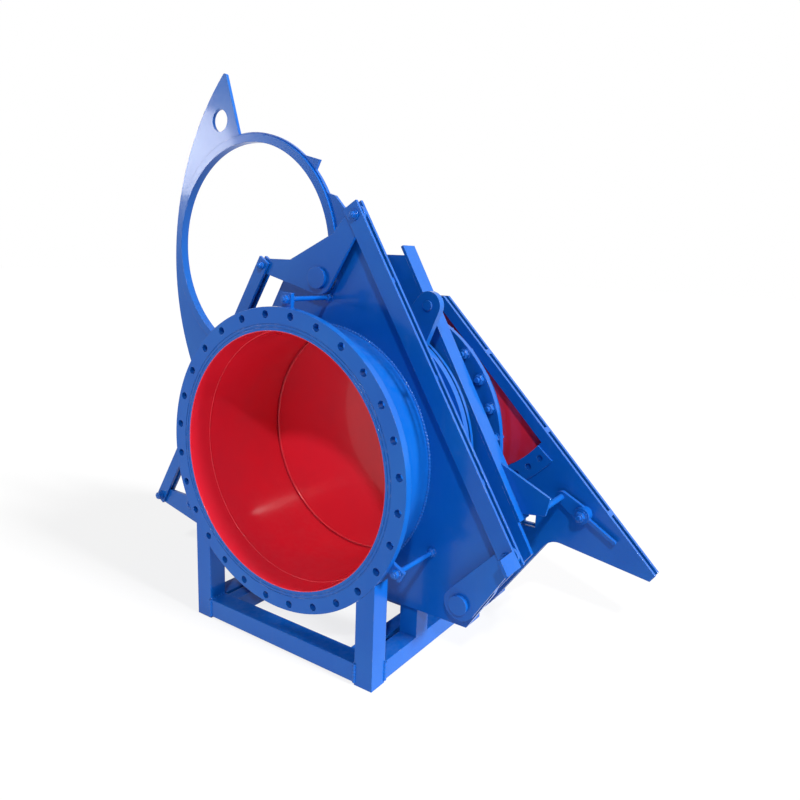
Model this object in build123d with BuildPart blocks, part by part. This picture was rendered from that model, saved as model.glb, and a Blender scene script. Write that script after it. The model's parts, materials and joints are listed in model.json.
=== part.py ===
from build123d import *
import os
from math import asin, atan2, cos, degrees, hypot, radians, sin

# Blind plate valve for a large gas main: a sector plate with an open ring and a
# blind disc swings between two pipe ends, and three linked cranks clamp it.
# X runs to the right seen from the front, Y back along the pipe, Z up. The origin
# is on the pipe axis at the face of the front flange. All lengths are millimetres.

# Pipe and its flanges
pipe_bore = 1000
pipe_wall = 10
flange_width = 77.5
flange_thickness = 30
bolt_inset = 27.5
bolt_hole = 30
bolt_count = 28
face_groove_width = 5
face_groove_depth = 2
face_groove_insets = (10, 22)

# Lengths along the pipe
front_neck = 265
front_plate_thickness = 25
front_body = 510
seat_width = 35
seat_depth = 30
side_gap = 5
blind_depth = 40
sector_sheet = 16
clamp_sheet = 20
clamp_rim_depth = 85
clamp_rim_sheet = 12
rear_body = 154
middle_flange_thickness = 25
bellows_length = 116
bellows_wave_height = 22
bellows_wave_width = 30
bellows_wave_count = 3
yoke_sheet = 15
yoke_space = 25

# Triangle of clamp shafts
pivot_clear = 180
side_boss_clear = 180
side_boss_drop = 440
pivot_diameter = 60
clamp_shaft_diameter = 50
shaft_collar_width = 16
shaft_collar_rim = 12
shaft_tail = 12
bush_wall = 22

# Cranks and their link rods
crank_sheet = 14
crank_stand_off = 31
crank_hub_radius = 64
crank_end_radius = 36
left_end_radius = 28
right_arm_out = 178
right_arm_up = 232
left_arm_out = 291
left_arm_up = 35
crank_pin_diameter = 40
left_pin_diameter = 30
pin_stick_out = 6
rod_sheet = 12
rod_slack = 2
rod_width = 66
left_rod_width = 54
rod_overhang = 42
left_overhang = 28
rod_guard_length = 60
rod_guard_depth = 90
rod_guard_sheet = 12
rod_spacer = 20
rod_spacer_inset = 8

# Sector plate
ring_wall = 36
ring_lap = 22
ring_margin = 7
blind_lap = 12
sector_reach = 42
disc_gap = 2.74
horn_angle = 133.4
horn_foot_angle = 142.1
horn_foot_inset = 281
horn_round = 12
lifting_hole = 100
lifting_hole_inset = 113
lifting_hole_angle = 142.4
pivot_hub_wall = 45
tab_height = 43
tab_root = 12
tab_start_angle = 52
tab_tip_angle = 43.5
tab_end_angle = 41.5
web_start_angle = 29
web_end_angle = 20
web_corner_out = 180
web_corner_up = 333

# Front plate fittings
stud_offset = 27.5
stud_diameter = 18
stud_top_angle = 88.5
stud_side_angle = -28.8
lug_width = 44
lug_inner = 37
lug_outer = 24
lug_thickness = 16
guide_lug_thickness = 30
guide_lug_out = 355
guide_lug_up = 600
guide_lug_radius = 55
guide_lug_foot = 80
guide_boss_radius = 20
guide_boss_height = 6

# Rear yoke
yoke_window_lobe_out = 305
yoke_window_lobe_up = 345
yoke_band = 45
yoke_throat_radius = 70
hand_hole_width = 66
hand_hole_height = 83
lining_sheet = 3
window_rim_width = 87
window_rim_sheet = 10
window_rim_start = -60
window_rim_end = -39
window_rim_hole = 26
window_rim_holes = 3
yoke_spacer_length = 24
yoke_spacer_depth = 16
lever_sheet = 18
lever_stand_off = 14
lever_hub_radius = 34
lever_tail_radius = 7
lever_eye_radius = 24
ear_sheet = 15
ear_inset = 40
release_link_diameter = 26

# Base frame
axis_height = 770
leg_width = 80
leg_spread = 860
rail_height = 75
rail_lift = 10
leg_top_drop = 250
inner_rail_width = 60
inner_rail_gap = 20
post_top_drop = 400
shelf_sheet = 14
clamp_post_top_drop = 470
foot_length = 97
foot_depth = 150
foot_height = 25

# Fits and cuts
fit_gap = 0.3
running_gap = 0.05
open_pivot_gap = 1
thrust_gap = 0.5
cut_over = 5

# Outlines as shares: X of the side shafts' reach, Z of the pivot's height
front_plate_shares = (
    (0.233, 1.307), (1.233, -0.330), (1.160, -0.560), (1.014, -0.797),
    (-1.014, -0.797), (-1.159, -0.725), (-1.260, -0.645), (-0.264, 1.080),
)
clamp_plate_shares = (
    (0.237, 1.140), (1.174, -0.484), (0.990, -0.740), (0.928, -0.820),
    (-0.928, -0.820), (-0.990, -0.740), (-1.174, -0.484), (-0.237, 1.140),
)
clamp_rim_rise_share = -0.030
clamp_rim_end_share = 0.90
# Right half of the yoke's outline, from the top round to the foot
yoke_top_share = (0.283, 0.894)
yoke_tip_share = (1.762, -0.585)
yoke_tip_cut_share = (1.735, -0.625)
yoke_throat_share = (1.130, -0.530)
yoke_foot_out_share = 0.752
yoke_foot_in_share = 0.580
yoke_arch_out_share = 0.520
yoke_arch_share = -0.950
yoke_spacer_shares = (0.22, 0.51, 0.80)
hand_hole_share = (0.975, -0.422)
lever_hub_share = (1.325, -0.314)
lever_tail_share = (1.525, -0.435)
lever_eye_share = (1.190, -0.230)
ear_start_share = 0.723
ear_end_share = 0.884
ear_tip_share = (1.235, -0.156)
ear_heel_share = (1.214, -0.262)
rod_spacer_shares = (0.21, 0.50, 0.80)
rod_middle_share = 0.5
left_shoulder_share = (0.61, 0.21)
right_shoulder_share = (0.34, 0.70)

# Worked out from the sizes above
bore_radius = pipe_bore / 2
pipe_radius = bore_radius + pipe_wall
flange_radius = pipe_radius + flange_width
bolt_radius = flange_radius - bolt_inset
seat_radius = pipe_radius + seat_width
front_plate_back = front_neck + front_plate_thickness
sector_front = front_body + side_gap
sector_back = sector_front + blind_depth
clamp_front = sector_back + side_gap
clamp_back = clamp_front + clamp_sheet
middle_flange_back = clamp_front + rear_body
middle_flange_front = middle_flange_back - middle_flange_thickness
yoke_front = middle_flange_back + bellows_length
yoke_inner_front = yoke_front + yoke_sheet
yoke_inner_back = yoke_inner_front + yoke_space
yoke_back = yoke_inner_back + yoke_sheet
pivot_height = pipe_radius + pivot_clear
side_boss_out = pipe_radius + side_boss_clear
crank_back = front_neck - crank_stand_off
crank_front = crank_back - crank_sheet
rod_rear_front = crank_back + rod_slack
rod_rear_back = rod_rear_front + rod_sheet
rod_front_back = crank_front - rod_slack
rod_front_front = rod_front_back - rod_sheet
shaft_front = crank_front - thrust_gap - shaft_collar_width
shaft_back = clamp_back + shaft_tail
ground = -axis_height
foot_top = ground + foot_height
rail_bottom = ground + rail_lift
rail_top = rail_bottom + rail_height
leg_centre = leg_spread / 2
leg_inner = leg_centre - leg_width / 2
leg_outer = leg_centre + leg_width / 2

top_boss = (0, pivot_height)
right_boss = (side_boss_out, -side_boss_drop)
left_boss = (-side_boss_out, -side_boss_drop)
top_right_pin = (right_arm_out, pivot_height + right_arm_up)
top_left_pin = (-left_arm_out, pivot_height + left_arm_up)
right_pin = (side_boss_out + right_arm_out, right_arm_up - side_boss_drop)
left_pin = (-side_boss_out - left_arm_out, left_arm_up - side_boss_drop)

os.makedirs("parts", exist_ok=True)


def finish(piece, name):
    """Label a finished piece and write it to its own file."""
    piece.part.label = name
    export_step(piece.part, f"parts/{name}.step")


def face_at(y):
    """Sketch plane across the pipe at y: its x is X and its y is Z."""
    return Plane(origin=(0, y, 0), x_dir=(1, 0, 0), z_dir=(0, -1, 0))


def backwards(sketch, depth, mode=Mode.ADD):
    """Give a sketch across the pipe its depth, going back along Y."""
    extrude(sketch.sketch, amount=depth, dir=(0, 1, 0), mode=mode)


def ring(y, depth, inner, outer, centre=(0, 0)):
    """Round ring across the pipe from y backwards."""
    with BuildSketch(face_at(y)) as outline:
        with Locations(centre):
            Circle(outer)
            Circle(inner, mode=Mode.SUBTRACT)
    backwards(outline, depth)


def disc(y, depth, radius, centre=(0, 0), mode=Mode.ADD):
    """Round disc across the pipe from y backwards."""
    with BuildSketch(face_at(y)) as outline:
        with Locations(centre):
            Circle(radius)
    backwards(outline, depth, mode)


def drill(y, depth, radius, centre=(0, 0)):
    """Round hole right through a sheet that starts at y."""
    disc(y - cut_over, depth + 2 * cut_over, radius, centre, Mode.SUBTRACT)


def sheet(y, depth, points, mode=Mode.ADD):
    """Flat sheet with a straight-sided outline from y backwards."""
    with BuildSketch(face_at(y)) as outline:
        with BuildLine():
            Polyline(*points, close=True)
        make_face()
    backwards(outline, depth, mode)


def arm(y, depth, *ends):
    """Rounded arm around ends given as a centre and a radius."""
    with BuildSketch(face_at(y)) as outline:
        for centre, radius in ends:
            with Locations(centre):
                Circle(radius)
        make_hull()
    backwards(outline, depth)


def block(low, high):
    """Plain box between two corners."""
    sizes = [b - a for a, b in zip(low, high)]
    with Locations(tuple(low)):
        Box(*sizes, align=(Align.MIN, Align.MIN, Align.MIN))


def both_blocks(low, high):
    """The same box on the right and on the left."""
    block(low, high)
    block((-high[0], low[1], low[2]), (-low[0], high[1], high[2]))


def bolt_holes(y, depth):
    """Ring of bolt holes that straddles the upright centre line."""
    half_pitch = 180 / bolt_count
    with BuildSketch(face_at(y - cut_over)) as holes:
        with PolarLocations(bolt_radius, bolt_count, start_angle=half_pitch):
            Circle(bolt_hole / 2)
    backwards(holes, depth + 2 * cut_over, Mode.SUBTRACT)


def placed(shares):
    """Point given as shares of the side shafts' reach and the pivot's height."""
    return (shares[0] * side_boss_out, shares[1] * pivot_height)


def mirrored(points):
    """The same points on the left side."""
    return [(-x, z) for x, z in points]


def between(start, end, share):
    """Point part of the way from one point to another."""
    return (start[0] + (end[0] - start[0]) * share, start[1] + (end[1] - start[1]) * share)


def beside(start, end, distance):
    """Shift that moves a line to its left by a distance."""
    length = hypot(end[0] - start[0], end[1] - start[1])
    return ((start[1] - end[1]) / length * distance, (end[0] - start[0]) / length * distance)


def shifted(point, shift):
    """Point moved by a shift."""
    return (point[0] + shift[0], point[1] + shift[1])


def polar(centre, radius, angle):
    """Point at a radius and an angle in degrees from a centre."""
    return (centre[0] + radius * cos(radians(angle)), centre[1] + radius * sin(radians(angle)))


# Front flange with its bolt holes and the machined rings on its face
with BuildPart() as front_flange:
    ring(0, flange_thickness, bore_radius, flange_radius)
    bolt_holes(0, flange_thickness)
    for inset in face_groove_insets:
        with BuildSketch(face_at(0)) as groove:
            Circle(bore_radius + inset + face_groove_width)
            Circle(bore_radius + inset, mode=Mode.SUBTRACT)
        backwards(groove, face_groove_depth, Mode.SUBTRACT)
finish(front_flange, "front_flange")

# Front pipe from the flange to its seat
with BuildPart() as front_pipe:
    ring(flange_thickness, front_body - flange_thickness, bore_radius, pipe_radius)
finish(front_pipe, "front_pipe")

with BuildPart() as front_seat:
    ring(front_body - seat_depth, seat_depth, pipe_radius + fit_gap, seat_radius)
finish(front_seat, "front_seat")

# Plate on the front pipe that carries the three cranks
with BuildPart() as front_plate:
    sheet(front_neck, front_plate_thickness, [placed(s) for s in front_plate_shares])
    drill(front_neck, front_plate_thickness, pipe_radius + fit_gap)
    drill(front_neck, front_plate_thickness, pivot_diameter / 2 + fit_gap, top_boss)
    for boss in (right_boss, left_boss):
        drill(front_neck, front_plate_thickness, clamp_shaft_diameter / 2 + fit_gap, boss)
finish(front_plate, "front_plate")

# Lugs behind the flange and the tie studs from them to the front plate
stud_radius = flange_radius + stud_offset
stud_angles = (stud_top_angle, stud_side_angle, 180 - stud_side_angle)
with BuildPart() as flange_lugs:
    for angle in stud_angles:
        with BuildSketch(face_at(flange_thickness)) as lug:
            with Locations(polar((0, 0), stud_radius + (lug_outer - lug_inner) / 2, angle)):
                Rectangle(lug_inner + lug_outer, lug_width, rotation=angle)
            with Locations(polar((0, 0), stud_radius, angle)):
                Circle(stud_diameter / 2 + fit_gap, mode=Mode.SUBTRACT)
        backwards(lug, lug_thickness)
finish(flange_lugs, "flange_lugs")

with BuildPart() as tie_studs:
    for angle in stud_angles:
        stud_centre = polar((0, 0), stud_radius, angle)
        disc(flange_thickness, front_neck - flange_thickness, stud_diameter / 2, stud_centre)
finish(tie_studs, "tie_studs")

# Shafts that hold the two plates together, and the bushes that space the cranks
with BuildPart() as pivot_shaft:
    disc(shaft_front, shaft_back - shaft_front, pivot_diameter / 2, top_boss)
    disc(shaft_front, shaft_collar_width, pivot_diameter / 2 + shaft_collar_rim, top_boss)
finish(pivot_shaft, "pivot_shaft")

with BuildPart() as clamp_shafts:
    for boss in (right_boss, left_boss):
        disc(shaft_front, shaft_back - shaft_front, clamp_shaft_diameter / 2, boss)
        disc(shaft_front, shaft_collar_width, clamp_shaft_diameter / 2 + shaft_collar_rim, boss)
finish(clamp_shafts, "clamp_shafts")

bush_length = crank_stand_off - thrust_gap
bush_front = front_neck - bush_length
with BuildPart() as crank_bushes:
    for boss, bush_bore in (
        (top_boss, pivot_diameter / 2),
        (right_boss, clamp_shaft_diameter / 2),
        (left_boss, clamp_shaft_diameter / 2),
    ):
        ring(bush_front, bush_length, bush_bore + fit_gap, bush_bore + bush_wall, boss)
finish(crank_bushes, "crank_bushes")

# Guide lug that stands on the front pipe beside the sector plate
guide_end = (guide_lug_out, guide_lug_up)
guide_angle = degrees(atan2(guide_lug_up, guide_lug_out))
guide_root = polar((0, 0), pipe_radius, guide_angle)
guide_front = front_body - seat_depth - guide_lug_thickness
with BuildPart() as guide_lug:
    arm(guide_front, guide_lug_thickness, (guide_end, guide_lug_radius), (guide_root, guide_lug_foot))
    disc(guide_front - guide_boss_height, guide_boss_height, guide_boss_radius, guide_end)
    drill(guide_front, guide_lug_thickness, pipe_radius + fit_gap)
finish(guide_lug, "guide_lug")

# Clamp plate behind the sector plate, with deep rims along its two sloping edges
clamp_points = [placed(s) for s in clamp_plate_shares]
with BuildPart() as clamp_plate:
    sheet(clamp_front, clamp_sheet, clamp_points)
    drill(clamp_front, clamp_sheet, pipe_radius + fit_gap)
    drill(clamp_front, clamp_sheet, pivot_diameter / 2 + fit_gap, top_boss)
    for boss in (right_boss, left_boss):
        drill(clamp_front, clamp_sheet, clamp_shaft_diameter / 2 + fit_gap, boss)
finish(clamp_plate, "clamp_plate")

rim_end = clamp_points[1]
rim_start = between(clamp_points[0], rim_end, clamp_rim_rise_share)
rim_shift = beside(rim_start, rim_end, clamp_rim_sheet)
rim_tail = between(rim_start, rim_end, clamp_rim_end_share)
rim_points = [rim_start, rim_tail, shifted(rim_tail, rim_shift), shifted(rim_start, rim_shift)]
with BuildPart() as clamp_rims:
    sheet(clamp_front, clamp_rim_depth, rim_points)
    sheet(clamp_front, clamp_rim_depth, mirrored(rim_points))
finish(clamp_rims, "clamp_rims")

# Rear pipe, its flange and the bellows that runs on to the yoke
with BuildPart() as rear_pipe:
    ring(clamp_front, middle_flange_front - clamp_front, bore_radius, pipe_radius)
finish(rear_pipe, "rear_pipe")

with BuildPart() as middle_flange:
    ring(middle_flange_front, middle_flange_thickness, bore_radius, flange_radius)
    bolt_holes(middle_flange_front, middle_flange_thickness)
finish(middle_flange, "middle_flange")

wave_room = bellows_length / bellows_wave_count
wave_radius = pipe_radius + bellows_wave_height
with BuildPart() as bellows:
    ring(middle_flange_back, yoke_inner_back - middle_flange_back, bore_radius, pipe_radius)
    for wave in range(bellows_wave_count):
        wave_front = middle_flange_back + wave_room * (wave + 0.5) - bellows_wave_width / 2
        ring(wave_front, bellows_wave_width, bore_radius + pipe_wall / 2, wave_radius)
    crests = bellows.edges().filter_by(GeomType.CIRCLE).group_by(SortBy.RADIUS)[-1]
    fillet(crests, bellows_wave_width / 3)
finish(bellows, "bellows")

# Rear yoke: two sheets held apart by spacers, with a window in the front one
yoke_top = placed(yoke_top_share)
yoke_tip = placed(yoke_tip_share)
yoke_throat = placed(yoke_throat_share)
hand_hole = placed(hand_hole_share)
yoke_right = [
    yoke_top,
    yoke_tip,
    placed(yoke_tip_cut_share),
    yoke_throat,
    (yoke_foot_out_share * side_boss_out, foot_top),
    (yoke_foot_in_share * side_boss_out, foot_top),
    (yoke_arch_out_share * side_boss_out, yoke_arch_share * pivot_height),
]
yoke_outline = yoke_right + mirrored(yoke_right)[::-1]
lobe = (yoke_window_lobe_out, yoke_window_lobe_up)
band_shift = beside(yoke_top, yoke_tip, -yoke_band)
window_top = shifted(yoke_top, band_shift)
window_side = shifted(yoke_tip, band_shift)
band_run = 2 * window_side[0] / (window_side[0] - window_top[0])
window_limit = [
    window_side,
    (window_side[0], ground),
    (-window_side[0], ground),
    between(window_side, window_top, band_run),
]
window_roof = yoke_top[1] - yoke_band
window_room = [
    (window_side[0], window_roof),
    (window_side[0], ground),
    (-window_side[0], ground),
    (-window_side[0], window_roof),
]


def yoke_sheets(y, depth):
    """One sheet of the yoke, with its two throats rounded and two hand holes."""
    with BuildSketch(face_at(y)) as outline:
        with BuildLine():
            Polyline(*yoke_outline, close=True)
        make_face()
        for corner in (yoke_throat, mirrored([yoke_throat])[0]):
            fillet(outline.vertices().sort_by_distance(corner)[0], yoke_throat_radius)
        with Locations(hand_hole, mirrored([hand_hole])[0]):
            Rectangle(hand_hole_width, hand_hole_height, mode=Mode.SUBTRACT)
    backwards(outline, depth)


def window(y, depth, mode=Mode.ADD):
    """Window of the yoke: two round lobes beside the pipe, kept inside the side bands."""
    with BuildSketch(face_at(y)) as outline:
        with Locations(lobe, mirrored([lobe])[0]):
            Circle(bore_radius)
        Circle(wave_radius)
        for limit in (window_limit, mirrored(window_limit), window_room):
            with BuildLine():
                Polyline(*limit, close=True)
            make_face(mode=Mode.INTERSECT)
    backwards(outline, depth, mode)


with BuildPart() as yoke_front_plate:
    yoke_sheets(yoke_front, yoke_sheet)
    window(yoke_front - cut_over, yoke_sheet + 2 * cut_over, Mode.SUBTRACT)
finish(yoke_front_plate, "yoke_front_plate")

with BuildPart() as yoke_rear_plate:
    yoke_sheets(yoke_inner_back, yoke_sheet)
    drill(yoke_inner_back, yoke_sheet, bore_radius)
finish(yoke_rear_plate, "yoke_rear_plate")

with BuildPart() as window_lining:
    window(yoke_inner_back - lining_sheet, lining_sheet)
    drill(yoke_inner_back - lining_sheet, lining_sheet, pipe_radius + fit_gap)
finish(window_lining, "window_lining")

spacer_shift = beside(yoke_top, yoke_tip, -yoke_spacer_depth)
edge_length = hypot(yoke_tip[0] - yoke_top[0], yoke_tip[1] - yoke_top[1])
half_spacer_share = yoke_spacer_length / edge_length / 2
with BuildPart() as yoke_spacers:
    for share in yoke_spacer_shares:
        start = between(yoke_top, yoke_tip, share - half_spacer_share)
        end = between(yoke_top, yoke_tip, share + half_spacer_share)
        spacer = [start, end, shifted(end, spacer_shift), shifted(start, spacer_shift)]
        sheet(yoke_inner_front, yoke_space, spacer)
        sheet(yoke_inner_front, yoke_space, mirrored(spacer))
finish(yoke_spacers, "yoke_spacers")

# Bolted rims along the lower curve of the window
rim_front = yoke_front - window_rim_sheet
rim_outer = bore_radius + window_rim_width
rim_middle = bore_radius + window_rim_width / 2
rim_sweep = window_rim_end - window_rim_start
with BuildPart() as window_rims:
    for side in (1, -1):
        start = window_rim_start if side > 0 else 180 - window_rim_end
        centre = (side * lobe[0], lobe[1])
        with BuildSketch(face_at(rim_front)) as rim:
            with BuildLine():
                CenterArc(centre, bore_radius, start, rim_sweep)
                CenterArc(centre, rim_outer, start, rim_sweep)
                Line(polar(centre, bore_radius, start), polar(centre, rim_outer, start))
                end = start + rim_sweep
                Line(polar(centre, bore_radius, end), polar(centre, rim_outer, end))
            make_face()
            for step in range(window_rim_holes):
                hole_angle = start + rim_sweep * (step + 0.5) / window_rim_holes
                with Locations(polar(centre, rim_middle, hole_angle)):
                    Circle(window_rim_hole / 2, mode=Mode.SUBTRACT)
        backwards(rim, window_rim_sheet)
finish(window_rims, "window_rims")

# Levers on the yoke's horns, ears on the clamp plate's rims and the links between them
lever_front = yoke_front - lever_stand_off - lever_sheet
lever_hub_length = lever_sheet + 2 * lever_stand_off
lever_hub = placed(lever_hub_share)
lever_tail = placed(lever_tail_share)
lever_eye = placed(lever_eye_share)
with BuildPart() as yoke_levers:
    for hub, tail, eye in ((lever_hub, lever_tail, lever_eye),
                           mirrored([lever_hub, lever_tail, lever_eye])):
        arm(lever_front, lever_sheet, (hub, lever_tail_radius), (tail, lever_tail_radius))
        arm(lever_front, lever_sheet, (hub, lever_hub_radius), (eye, lever_eye_radius))
        disc(lever_front - lever_stand_off, lever_hub_length, lever_hub_radius, hub)
finish(yoke_levers, "yoke_levers")

ear_front = clamp_front + ear_inset
ear_back = ear_front + ear_sheet
ear_points = [
    shifted(between(rim_start, rim_end, ear_start_share), rim_shift),
    placed(ear_tip_share),
    placed(ear_heel_share),
    shifted(between(rim_start, rim_end, ear_end_share), rim_shift),
]
with BuildPart() as clamp_ears:
    sheet(ear_front, ear_sheet, ear_points)
    sheet(ear_front, ear_sheet, mirrored(ear_points))
finish(clamp_ears, "clamp_ears")

with BuildPart() as release_links:
    for eye in (lever_eye, mirrored([lever_eye])[0]):
        disc(ear_back, lever_front - ear_back, release_link_diameter / 2, eye)
finish(release_links, "release_links")

# Base frame: legs under the front flange, rails back to the yoke, posts for the plates
for name, side in (("front_leg_right", 1), ("front_leg_left", -1)):
    with BuildPart() as front_leg:
        edges = sorted((side * leg_inner, side * leg_outer))
        block((edges[0], 0, ground), (edges[1], leg_width, -leg_top_drop))
        drill(0, leg_width, flange_radius + fit_gap)
        for angle in stud_angles[1:]:
            with BuildSketch(face_at(flange_thickness)) as lug_space:
                with Locations(polar((0, 0), stud_radius + (lug_outer - lug_inner) / 2, angle)):
                    Rectangle(lug_inner + lug_outer + 2 * fit_gap, lug_width + 2 * fit_gap, rotation=angle)
            backwards(lug_space, leg_width - flange_thickness, Mode.SUBTRACT)
    finish(front_leg, name)

with BuildPart() as front_rail:
    block((-leg_inner, 0, rail_bottom), (leg_inner, leg_width, rail_top))
    drill(0, leg_width, flange_radius + fit_gap)
finish(front_rail, "front_rail")

for name, side in (("side_rail_right", 1), ("side_rail_left", -1)):
    with BuildPart() as side_rail:
        edges = sorted((side * leg_inner, side * leg_outer))
        block((edges[0], leg_width, rail_bottom), (edges[1], yoke_front, rail_top))
    finish(side_rail, name)

inner_rail_out = leg_inner - inner_rail_gap
with BuildPart() as inner_rails:
    both_blocks((inner_rail_out - inner_rail_width, leg_width, rail_bottom),
                (inner_rail_out, clamp_back, rail_top))
finish(inner_rails, "inner_rails")

crossbar_back = clamp_front + clamp_rim_depth
with BuildPart() as middle_crossbar:
    block((-leg_inner, clamp_back, rail_bottom), (leg_inner, crossbar_back, rail_top))
finish(middle_crossbar, "middle_crossbar")

with BuildPart() as plate_posts:
    both_blocks((leg_inner, front_plate_back, rail_top),
                (leg_outer, front_plate_back + leg_width, -post_top_drop))
    drill(front_plate_back, leg_width, pipe_radius + fit_gap)
finish(plate_posts, "plate_posts")

shelf_out = front_plate_shares[3][0] * side_boss_out
shelf_bottom = front_plate_shares[3][1] * pivot_height
with BuildPart() as plate_shelves:
    both_blocks((leg_outer, front_plate_back, shelf_bottom),
                (shelf_out, front_plate_back + leg_width, shelf_bottom + shelf_sheet))
    for boss in (right_boss, left_boss):
        drill(front_plate_back, leg_width, clamp_shaft_diameter / 2 + fit_gap, boss)
finish(plate_shelves, "plate_shelves")

with BuildPart() as clamp_posts:
    both_blocks((leg_inner, clamp_back, rail_top), (leg_outer, crossbar_back, -clamp_post_top_drop))
    drill(clamp_back, crossbar_back - clamp_back, pipe_radius + fit_gap)
finish(clamp_posts, "clamp_posts")

foot_inner = yoke_foot_in_share * side_boss_out
with BuildPart() as yoke_feet:
    both_blocks((foot_inner, yoke_front, ground),
                (foot_inner + foot_length, yoke_back + foot_depth, foot_top))
finish(yoke_feet, "yoke_feet")

# Sector plate on the pivot: open ring to the left, blind disc across the bore
blind_angle = 270
blind_radius = bore_radius + blind_lap
ring_radius = bore_radius + ring_lap
sector_swing = 2 * degrees(asin((blind_radius + ring_radius + disc_gap) / (2 * pivot_height)))
ring_angle = blind_angle - sector_swing
web_radius = bore_radius + sector_reach
sector_radius = pivot_height + web_radius
ring_centre = polar(top_boss, pivot_height, ring_angle)
horn_tip = polar(top_boss, sector_radius, horn_angle)
horn_foot = polar(top_boss, sector_radius - horn_foot_inset, horn_foot_angle)
lifting_centre = polar(top_boss, sector_radius - lifting_hole_inset, lifting_hole_angle)
hub_radius = pivot_diameter / 2 + pivot_hub_wall
rim_radius = ring_radius + ring_margin
tab_points = [
    polar(ring_centre, rim_radius - tab_root, tab_start_angle),
    polar(ring_centre, rim_radius, tab_start_angle),
    polar(ring_centre, rim_radius + tab_height, tab_tip_angle),
    polar(ring_centre, rim_radius - tab_root, tab_end_angle),
]
web_points = [
    ring_centre,
    polar(ring_centre, rim_radius, web_start_angle),
    (-web_corner_out, pivot_height + web_corner_up),
    polar(top_boss, hub_radius + sector_reach, web_end_angle),
    top_boss,
]
sheet_front = sector_front + (blind_depth - sector_sheet) / 2
with BuildPart() as sector_plate:
    with BuildSketch(face_at(sheet_front)) as sector:
        with BuildLine():
            CenterArc(top_boss, sector_radius, ring_angle, sector_swing)
            Line(polar(top_boss, sector_radius, ring_angle), top_boss)
            Line(polar(top_boss, sector_radius, blind_angle), top_boss)
        make_face()
        with BuildLine():
            CenterArc(top_boss, sector_radius, horn_angle, ring_angle - horn_angle)
            Polyline(horn_tip, horn_foot, ring_centre, polar(top_boss, sector_radius, ring_angle))
        make_face()
        Circle(web_radius)
        with Locations(ring_centre):
            Circle(rim_radius)
        for points in (tab_points, web_points):
            with BuildLine():
                Polyline(*points, close=True)
            make_face()
        with Locations(top_boss):
            Circle(hub_radius + sector_reach)
            Circle(hub_radius + fit_gap, mode=Mode.SUBTRACT)
        Circle(blind_radius + fit_gap, mode=Mode.SUBTRACT)
        with Locations(ring_centre):
            Circle(ring_radius + fit_gap, mode=Mode.SUBTRACT)
        with Locations(lifting_centre):
            Circle(lifting_hole / 2, mode=Mode.SUBTRACT)
        fillet(sector.vertices().sort_by_distance(horn_tip)[0], horn_round)
    backwards(sector, sector_sheet)
finish(sector_plate, "sector_plate")

with BuildPart() as sector_ring:
    ring(sector_front, blind_depth, ring_radius - ring_wall, ring_radius, ring_centre)
finish(sector_ring, "sector_ring")

with BuildPart() as blind_disc:
    disc(sector_front, blind_depth, blind_radius)
finish(blind_disc, "blind_disc")

with BuildPart() as sector_hub:
    ring(sector_front, blind_depth, pivot_diameter / 2 + running_gap, hub_radius, top_boss)
finish(sector_hub, "sector_hub")

# Three cranks and their pins
left_shoulder_up = left_shoulder_share[1] * right_arm_up
left_shoulder = (-left_shoulder_share[0] * left_arm_out, pivot_height + left_shoulder_up)
right_shoulder_up = right_shoulder_share[1] * right_arm_up
right_shoulder = (right_shoulder_share[0] * right_arm_out, pivot_height + right_shoulder_up)
pin_hole = crank_pin_diameter / 2 + fit_gap
with BuildPart() as top_crank:
    arm(crank_front, crank_sheet, (top_boss, crank_hub_radius), (top_right_pin, crank_end_radius))
    arm(crank_front, crank_sheet, (top_boss, crank_hub_radius), (top_left_pin, left_end_radius))
    sheet(crank_front, crank_sheet, [top_boss, left_shoulder, right_shoulder, top_right_pin])
    drill(crank_front, crank_sheet, pivot_diameter / 2 + running_gap, top_boss)
    drill(crank_front, crank_sheet, pin_hole, top_right_pin)
    drill(crank_front, crank_sheet, left_pin_diameter / 2 + fit_gap, top_left_pin)
finish(top_crank, "top_crank")

for name, boss, pin, end_radius in (
    ("right_crank", right_boss, right_pin, crank_end_radius),
    ("left_crank", left_boss, left_pin, crank_end_radius),
):
    with BuildPart() as side_crank:
        arm(crank_front, crank_sheet, (boss, crank_hub_radius), (pin, end_radius))
        drill(crank_front, crank_sheet, clamp_shaft_diameter / 2 + running_gap, boss)
        drill(crank_front, crank_sheet, pin_hole, pin)
    finish(side_crank, name)

pin_front = rod_front_front - pin_stick_out
pin_length = rod_rear_back + pin_stick_out - pin_front
with BuildPart() as top_pins:
    disc(pin_front, pin_length, crank_pin_diameter / 2, top_right_pin)
    disc(pin_front, pin_length, left_pin_diameter / 2, top_left_pin)
finish(top_pins, "top_pins")

for name, pin in (("right_crank_pin", right_pin), ("left_crank_pin", left_pin)):
    with BuildPart() as side_pin:
        disc(pin_front, pin_length, crank_pin_diameter / 2, pin)
    finish(side_pin, name)

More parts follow.
